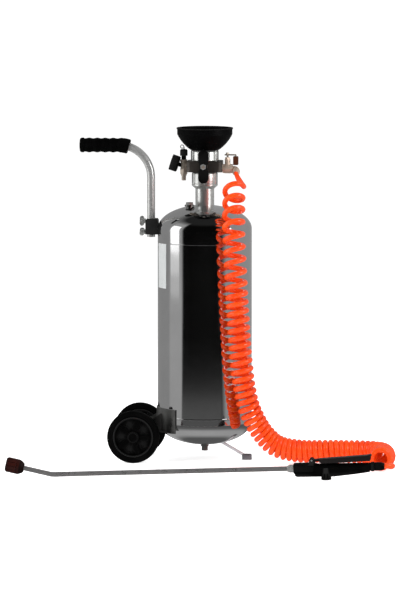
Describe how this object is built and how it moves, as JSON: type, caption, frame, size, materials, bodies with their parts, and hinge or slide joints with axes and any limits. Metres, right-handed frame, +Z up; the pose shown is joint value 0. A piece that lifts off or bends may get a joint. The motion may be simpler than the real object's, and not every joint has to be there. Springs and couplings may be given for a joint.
{
  "type": "wheeled sprayer cart",
  "caption": "Compressed-air sprayer: upright steel pressure tank on a wheeled cart with a push handle, filling funnel on a ball valve, spiral hose, trigger gun and long bent lance.",
  "frame": {"origin": "centre of the front foot's flat underside, on the floor", "axes": "+Z up, +X forward from the handle and wheels towards the hose, +Y the cart's left side"},
  "size_m": [0.9549, 0.528, 0.8321],
  "materials": {
    "polished_steel": "mirror polished stainless steel",
    "satin_plate": "brushed thin plate",
    "chrome_fitting": "bright chromed fitting",
    "nickel_fitting": "nickel-plated brass",
    "dark_block": "dark coated valve block",
    "dark_steel": "dull dark grey steel",
    "bright_steel": "drawn stainless tube and rod",
    "spring_steel": "spring wire",
    "black_plastic": "black moulded nylon",
    "funnel_black": "smooth black polypropylene",
    "tyre_rubber": "black rubber",
    "grip_rubber": "soft black grip",
    "lever_brown": "dark red-brown vinyl sleeve",
    "trigger_black": "black lever",
    "nozzle_dark": "black plastic with a dark red tint",
    "seal": "black seal",
    "seat_white": "white seat ring",
    "dial_white": "white dial",
    "needle_black": "black needle",
    "lens": "clear lens",
    "orange_hose": "glossy orange polyurethane"
  },
  "bodies": {
    "cart": {"axle": "bright_steel", "axle_bracket": "dark_steel", "axle_caps": "black_plastic", "ball_seats": "seat_white", "clamp_block": "black_plastic", "coil_hose": "orange_hose", "dip_tube": "bright_steel", "drain_plug": "dark_steel", "foot_cap": "grip_rubber", "funnel": "funnel_black", "funnel_strainer": "bright_steel", "gauge_case": "black_plastic", "gauge_dial": "dial_white", "gauge_lens": "lens", "gun_swivel_nut": "black_plastic", "hose_elbow": "nickel_fitting", "hose_nut": "nickel_fitting", "inlet_cross": "nickel_fitting", "inlet_plug": "nickel_fitting", "lower_union": "chrome_fitting", "manifold_block": "dark_block", "neck_ferrule": "polished_steel", "neck_gaskets": "seal", "outlet_valve_body": "nickel_fitting", "rating_plate": "satin_plate", "safety_valve_body": "black_plastic", "safety_valve_spring": "spring_steel", "stand_leg": "bright_steel", "tank_bottom_head": "polished_steel", "tank_shell": "polished_steel", "tank_top_head": "polished_steel", "top_plug": "dark_steel", "upper_union": "chrome_fitting"},
    "left_wheel": {"wheel_rim_left": "black_plastic", "tyre_left": "tyre_rubber"},
    "right_wheel": {"wheel_rim_right": "black_plastic", "tyre_right": "tyre_rubber"},
    "handle": {"handle_tube": "bright_steel", "handle_grip": "grip_rubber"},
    "upper_screw": {"upper_wing_screw": "chrome_fitting"},
    "lower_screw": {"lower_wing_screw": "chrome_fitting"},
    "fill_valve": {"fill_ball": "nickel_fitting", "fill_stem": "nickel_fitting", "fill_handle": "black_plastic", "fill_handle_nut": "bright_steel"},
    "safety_stem": {"safety_valve_stem": "bright_steel"},
    "needle": {"gauge_needle": "needle_black"},
    "outlet_valve": {"outlet_ball": "nickel_fitting", "outlet_lever": "nickel_fitting", "lever_sleeve": "lever_brown"},
    "lance": {"gun_body": "black_plastic", "gun_bonnet": "black_plastic", "gun_spring": "spring_steel", "trigger_pin": "bright_steel", "lance_nut": "bright_steel", "lance_tube": "bright_steel", "nozzle_body": "nozzle_dark"},
    "trigger": {"gun_trigger": "trigger_black"},
    "valve_pin": {"gun_valve_pin": "bright_steel"},
    "nozzle": {"nozzle_cap": "nozzle_dark"}
  },
  "joints": [
    {"name": "left_wheel_spin", "type": "hinge", "parent": "cart", "child": "left_wheel", "pos_m": [-0.277, 0.092, 0.065], "axis": [0, 1, 0], "continuous": true},
    {"name": "right_wheel_spin", "type": "hinge", "parent": "cart", "child": "right_wheel", "pos_m": [-0.277, -0.092, 0.065], "axis": [0, 1, 0], "continuous": true},
    {"name": "handle_height", "type": "slide", "parent": "cart", "child": "handle", "axis": [0, 0, 1], "range_m": [-0.1, 0]},
    {"name": "upper_screw_turn", "type": "hinge", "parent": "cart", "child": "upper_screw", "pos_m": [-0.262, 0, 0.598], "axis": [1, 0, 0], "range_deg": [0, 360]},
    {"name": "lower_screw_turn", "type": "hinge", "parent": "cart", "child": "lower_screw", "pos_m": [-0.262, 0, 0.571], "axis": [1, 0, 0], "range_deg": [0, 360]},
    {"name": "fill_valve_turn", "type": "hinge", "parent": "cart", "child": "fill_valve", "pos_m": [-0.106, -0.02, 0.737], "axis": [0, -1, 0], "range_deg": [0, 90]},
    {"name": "safety_valve_lift", "type": "slide", "parent": "cart", "child": "safety_stem", "axis": [0, 0, 1], "range_m": [0, 0.003], "stiffness_N_per_m": 600, "deforming": ["safety_valve_spring"]},
    {"name": "gauge_needle_turn", "type": "hinge", "parent": "cart", "child": "needle", "pos_m": [-0.181, 0, 0.743], "axis": [-0.9511, 0, 0.309], "range_deg": [-270, 0]},
    {"name": "outlet_valve_turn", "type": "hinge", "parent": "cart", "child": "outlet_valve", "pos_m": [-0.049, 0, 0.74], "axis": [0, 0, 1], "range_deg": [0, 90]},
    {"name": "gun_swivel", "type": "hinge", "parent": "cart", "child": "lance", "pos_m": [0.34388, -0.392, 0.03428], "axis": [0.9994, 0, 0.0349], "continuous": true},
    {"name": "trigger_squeeze", "type": "hinge", "parent": "lance", "child": "trigger", "pos_m": [0.18829, -0.392, 0.04836], "axis": [0, 1, 0], "range_deg": [0, 4.5], "stiffness_Nm_per_rad": 2},
    {"name": "valve_pin_push", "type": "slide", "parent": "lance", "child": "valve_pin", "axis": [0.0349, 0, -0.9994], "range_m": [0, 0.003], "deforming": ["gun_spring"]},
    {"name": "nozzle_adjust", "type": "hinge", "parent": "lance", "child": "nozzle", "pos_m": [-0.54687, -0.392, 0.02784], "axis": [-0.9774, 0, 0.2113], "range_deg": [0, 180]}
  ],
  "couplings": [
    {"joint": "valve_pin_push", "follows": "trigger_squeeze", "m_per_rad": 0.034}
  ]
}
